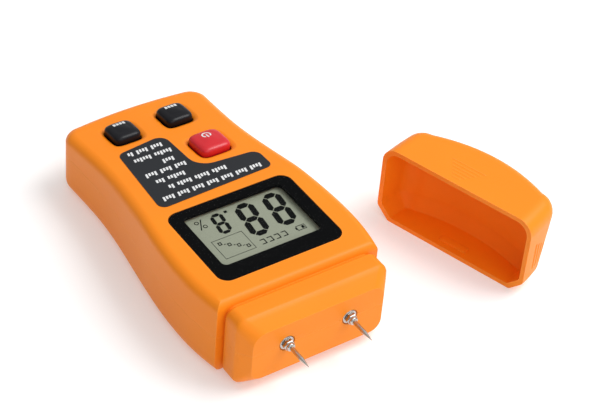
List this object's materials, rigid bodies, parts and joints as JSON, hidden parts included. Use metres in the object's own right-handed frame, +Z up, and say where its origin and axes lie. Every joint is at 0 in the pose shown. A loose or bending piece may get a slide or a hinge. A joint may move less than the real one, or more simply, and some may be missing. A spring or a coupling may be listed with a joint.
{
  "type": "moisture meter",
  "caption": "Handheld two-pin moisture meter for wood and floors with display, keys and a loose pin cap.",
  "frame": {"origin": "on the flat back, on the centre line, at the middle of the main body without the neck", "axes": "+Z up out of the display, +Y towards the pins, +X to the user's right when the display is read with the pins away"},
  "size_m": [0.1225, 0.1282, 0.0296],
  "materials": {
    "orange_shell": "fine satin moulding",
    "clear_window": "clear gloss",
    "black_gloss": "gloss",
    "dark_label": "satin print",
    "red_button": "satin gloss",
    "black_button": "satin gloss",
    "black_moulding": "matte",
    "needle_steel": "ground",
    "bright_nickel": "polished",
    "brass": "turned",
    "lcd_glass": "grey-green display glass",
    "white_moulding": "matte",
    "soft_strip": "matte",
    "circuit_board": "lacquered",
    "battery_case": "satin",
    "wire_cover": "satin",
    "foam": "open foam",
    "screw_steel": "zinc plated"
  },
  "bodies": {
    "meter": {"front_cover": "orange_shell", "rear_cover": "orange_shell", "display_lens": "clear_window", "window_border": "black_gloss", "species_label": "dark_label", "pin_left": "needle_steel", "pin_right": "needle_steel", "pin_collar_left": "bright_nickel", "pin_collar_right": "bright_nickel", "socket_left": "brass", "socket_right": "brass", "lcd_panel": "lcd_glass", "lcd_frame": "white_moulding", "zebra_strips": "soft_strip", "main_board": "circuit_board", "button_board": "circuit_board", "board_ribbon": "white_moulding", "controller_chip": "black_moulding", "tact_switches": "screw_steel", "battery": "battery_case", "battery_snap": "black_moulding", "battery_leads": "wire_cover", "pin_leads": "wire_cover", "battery_pad": "foam", "case_screws": "screw_steel", "board_screws": "screw_steel"},
    "power_key": {"power_button": "red_button", "power_plunger": "black_moulding"},
    "mode_key": {"mode_button": "black_button", "mode_plunger": "black_moulding"},
    "hold_key": {"hold_button": "black_button", "hold_plunger": "black_moulding"},
    "door": {"battery_door": "orange_shell"},
    "cap": {"pin_cap": "orange_shell"}
  },
  "joints": [
    {"name": "power_press", "type": "slide", "parent": "meter", "child": "power_key", "axis": [0, 0.1044, -0.9945], "range_m": [0, 0.0005], "stiffness_N_per_m": 400},
    {"name": "mode_press", "type": "slide", "parent": "meter", "child": "mode_key", "axis": [0, 0.1044, -0.9945], "range_m": [0, 0.0005], "stiffness_N_per_m": 400},
    {"name": "hold_press", "type": "slide", "parent": "meter", "child": "hold_key", "axis": [0, 0.1044, -0.9945], "range_m": [0, 0.0005], "stiffness_N_per_m": 400},
    {"name": "battery_door_slide", "type": "slide", "parent": "meter", "child": "door", "axis": [0, -1, 0], "range_m": [0, 0.075]},
    {"name": "cap_swing", "type": "hinge", "parent": "meter", "child": "cap", "pos_m": [-0.01994, 0.03697, 0], "axis": [0, 0, -1], "range_deg": [0, 107.8]}
  ]
}
